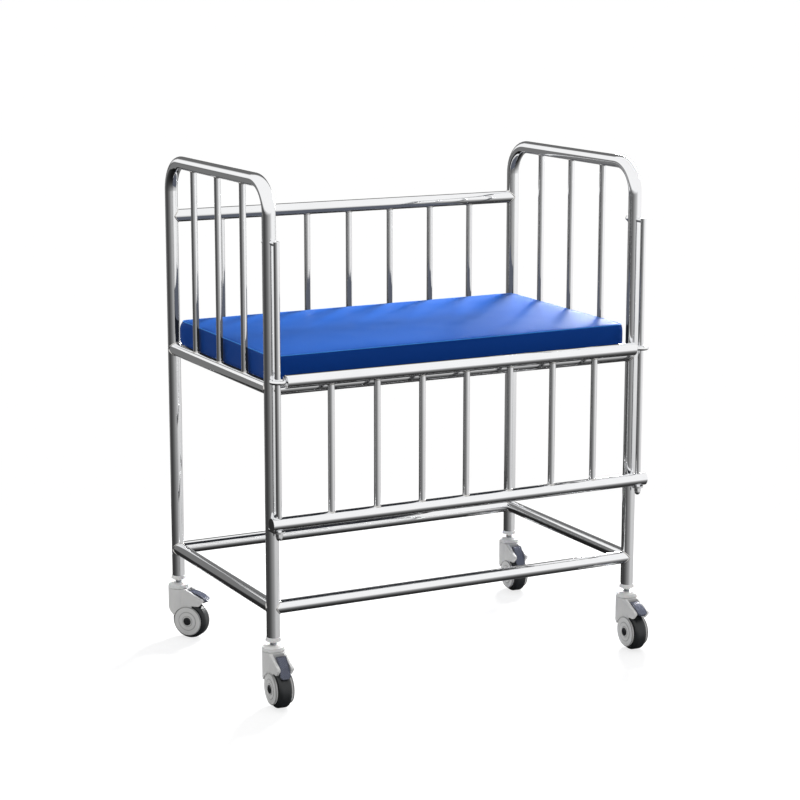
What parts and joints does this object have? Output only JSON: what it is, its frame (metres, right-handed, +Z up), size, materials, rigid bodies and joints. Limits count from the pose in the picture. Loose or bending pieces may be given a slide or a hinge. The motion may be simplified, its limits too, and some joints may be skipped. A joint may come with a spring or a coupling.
{
  "type": "hospital bassinet",
  "caption": "Stainless tube crib on swivel casters with a slatted drop gate sliding on guide rods, slatted back and ends, a blue mattress and braked wheels.",
  "frame": {"origin": "on the floor, under the middle of the whole crib's box", "axes": "+X along the crib to its right-hand end seen from the gate, +Y from the gate to the slatted back, +Z up"},
  "size_m": [0.8328, 0.569, 0.9969],
  "materials": {
    "polished_steel": "polished",
    "zinc_steel": "satin",
    "black_steel": "gloss",
    "mattress_cover": "coated cloth",
    "white_plastic": "gloss",
    "grey_plastic": "moulded",
    "blue_plastic": "diamond texture",
    "tyre": "smooth rubber"
  },
  "bodies": {
    "frame": {"left_end_hoop": "polished_steel", "right_end_hoop": "polished_steel", "left_end_rail": "polished_steel", "right_end_rail": "polished_steel", "front_frame_rail": "polished_steel", "back_frame_rail": "polished_steel", "left_lower_stretcher": "polished_steel", "right_lower_stretcher": "polished_steel", "front_lower_stretcher": "polished_steel", "back_lower_stretcher": "polished_steel", "back_top_rail": "polished_steel", "back_slats": "polished_steel", "left_end_slats": "polished_steel", "right_end_slats": "polished_steel", "deck_bars": "polished_steel", "mattress": "mattress_cover", "left_guide_rod": "polished_steel", "right_guide_rod": "polished_steel", "rod_pins": "polished_steel", "rod_lugs": "polished_steel", "pin_nuts": "polished_steel", "lug_nuts": "polished_steel", "leg_sockets": "white_plastic", "caster_stems": "zinc_steel", "swivel_bearings": "zinc_steel", "caster_caps": "white_plastic"},
    "gate": {"gate_top_rail": "polished_steel", "gate_bottom_rail": "polished_steel", "gate_slats": "polished_steel", "gate_eyes": "polished_steel", "gate_end_caps": "polished_steel"},
    "left_front_swivel": {"left_front_fork": "grey_plastic", "left_front_side_covers": "grey_plastic", "left_front_axle": "black_steel", "left_front_pedal_pin": "grey_plastic"},
    "left_front_wheel": {"left_front_hub": "grey_plastic", "left_front_tyre": "tyre"},
    "left_front_brake": {"left_front_pedal": "blue_plastic"},
    "right_front_swivel": {"right_front_fork": "grey_plastic", "right_front_side_covers": "grey_plastic", "right_front_axle": "black_steel", "right_front_pedal_pin": "grey_plastic"},
    "right_front_wheel": {"right_front_hub": "grey_plastic", "right_front_tyre": "tyre"},
    "right_front_brake": {"right_front_pedal": "blue_plastic"},
    "left_rear_swivel": {"left_rear_fork": "grey_plastic", "left_rear_side_covers": "grey_plastic", "left_rear_axle": "black_steel", "left_rear_pedal_pin": "grey_plastic"},
    "left_rear_wheel": {"left_rear_hub": "grey_plastic", "left_rear_tyre": "tyre"},
    "left_rear_brake": {"left_rear_pedal": "blue_plastic"},
    "right_rear_swivel": {"right_rear_fork": "grey_plastic", "right_rear_side_covers": "grey_plastic", "right_rear_axle": "black_steel", "right_rear_pedal_pin": "grey_plastic"},
    "right_rear_wheel": {"right_rear_hub": "grey_plastic", "right_rear_tyre": "tyre"},
    "right_rear_brake": {"right_rear_pedal": "blue_plastic"}
  },
  "joints": [
    {"name": "gate_slide", "type": "slide", "parent": "frame", "child": "gate", "axis": [0, 0, 1], "range_m": [0, 0.24]},
    {"name": "left_front_swivel_turn", "type": "hinge", "parent": "frame", "child": "left_front_swivel", "pos_m": [-0.39311, -0.21501, 0.1035], "axis": [0, 0, 1], "continuous": true},
    {"name": "left_front_wheel_roll", "type": "hinge", "parent": "left_front_swivel", "child": "left_front_wheel", "pos_m": [-0.39433, -0.24298, 0.0375], "axis": [0.999, -0.0436, 0], "continuous": true},
    {"name": "left_front_brake_pedal", "type": "hinge", "parent": "left_front_swivel", "child": "left_front_brake", "pos_m": [-0.39477, -0.25297, 0.084], "axis": [0.999, -0.0436, 0], "range_deg": [-36, 0]},
    {"name": "right_front_swivel_turn", "type": "hinge", "parent": "frame", "child": "right_front_swivel", "pos_m": [0.39489, -0.21501, 0.1035], "axis": [0, 0, 1], "continuous": true},
    {"name": "right_front_wheel_roll", "type": "hinge", "parent": "right_front_swivel", "child": "right_front_wheel", "pos_m": [0.39366, -0.24298, 0.0375], "axis": [0.999, -0.0436, 0], "continuous": true},
    {"name": "right_front_brake_pedal", "type": "hinge", "parent": "right_front_swivel", "child": "right_front_brake", "pos_m": [0.39323, -0.25297, 0.084], "axis": [0.999, -0.0436, 0], "range_deg": [0, 36]},
    {"name": "left_rear_swivel_turn", "type": "hinge", "parent": "frame", "child": "left_rear_swivel", "pos_m": [-0.39311, 0.26299, 0.1035], "axis": [0, 0, 1], "continuous": true},
    {"name": "left_rear_wheel_roll", "type": "hinge", "parent": "left_rear_swivel", "child": "left_rear_wheel", "pos_m": [-0.37493, 0.2417, 0.0375], "axis": [0.7604, 0.6494, 0], "continuous": true},
    {"name": "left_rear_brake_pedal", "type": "hinge", "parent": "left_rear_swivel", "child": "left_rear_brake", "pos_m": [-0.36843, 0.2341, 0.084], "axis": [0.7604, 0.6494, 0], "range_deg": [0, 36]},
    {"name": "right_rear_swivel_turn", "type": "hinge", "parent": "frame", "child": "right_rear_swivel", "pos_m": [0.39489, 0.26299, 0.1035], "axis": [0, 0, 1], "continuous": true},
    {"name": "right_rear_wheel_roll", "type": "hinge", "parent": "right_rear_swivel", "child": "right_rear_wheel", "pos_m": [0.39293, 0.23506, 0.0375], "axis": [0.9976, -0.0698, 0], "continuous": true},
    {"name": "right_rear_brake_pedal", "type": "hinge", "parent": "right_rear_swivel", "child": "right_rear_brake", "pos_m": [0.39224, 0.22509, 0.084], "axis": [0.9976, -0.0698, 0], "range_deg": [-36, 0]}
  ]
}
